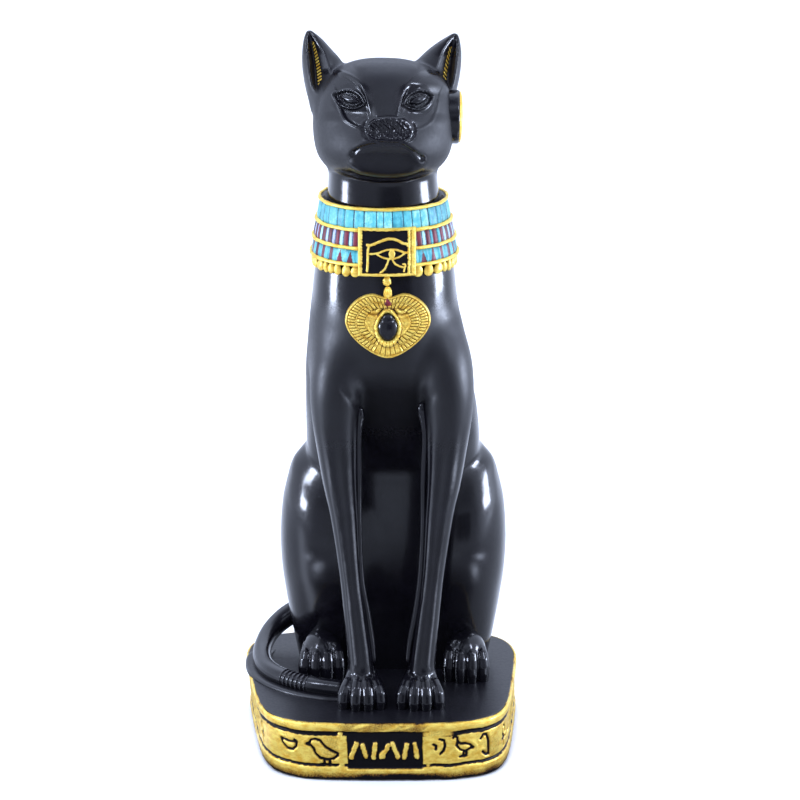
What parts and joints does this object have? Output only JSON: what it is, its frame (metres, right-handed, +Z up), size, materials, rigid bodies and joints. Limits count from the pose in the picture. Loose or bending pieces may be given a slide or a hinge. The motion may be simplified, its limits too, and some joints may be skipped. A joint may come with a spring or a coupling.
{
  "type": "bastet cat figure",
  "caption": "Seated black cat figure with a banded collar, wedjat breast plate, winged pendant and earring, cast in one with its low gilded plinth.",
  "frame": {"origin": "middle of the plinth's underside", "axes": "+Z up through the cat, -Y the way the cat faces, +X to the viewer's right"},
  "size_m": [0.0915, 0.09, 0.2402],
  "materials": {
    "black_resin": "gloss black lacquer over cast polyester resin",
    "gold_paint": "brushed-on metallic gold paint, dark in the recesses",
    "turquoise_paint": "dry-brushed turquoise paint",
    "crimson_paint": "satin dark crimson paint"
  },
  "bodies": {
    "root": {"cat_figure": "black_resin"}
  },
  "joints": []
}
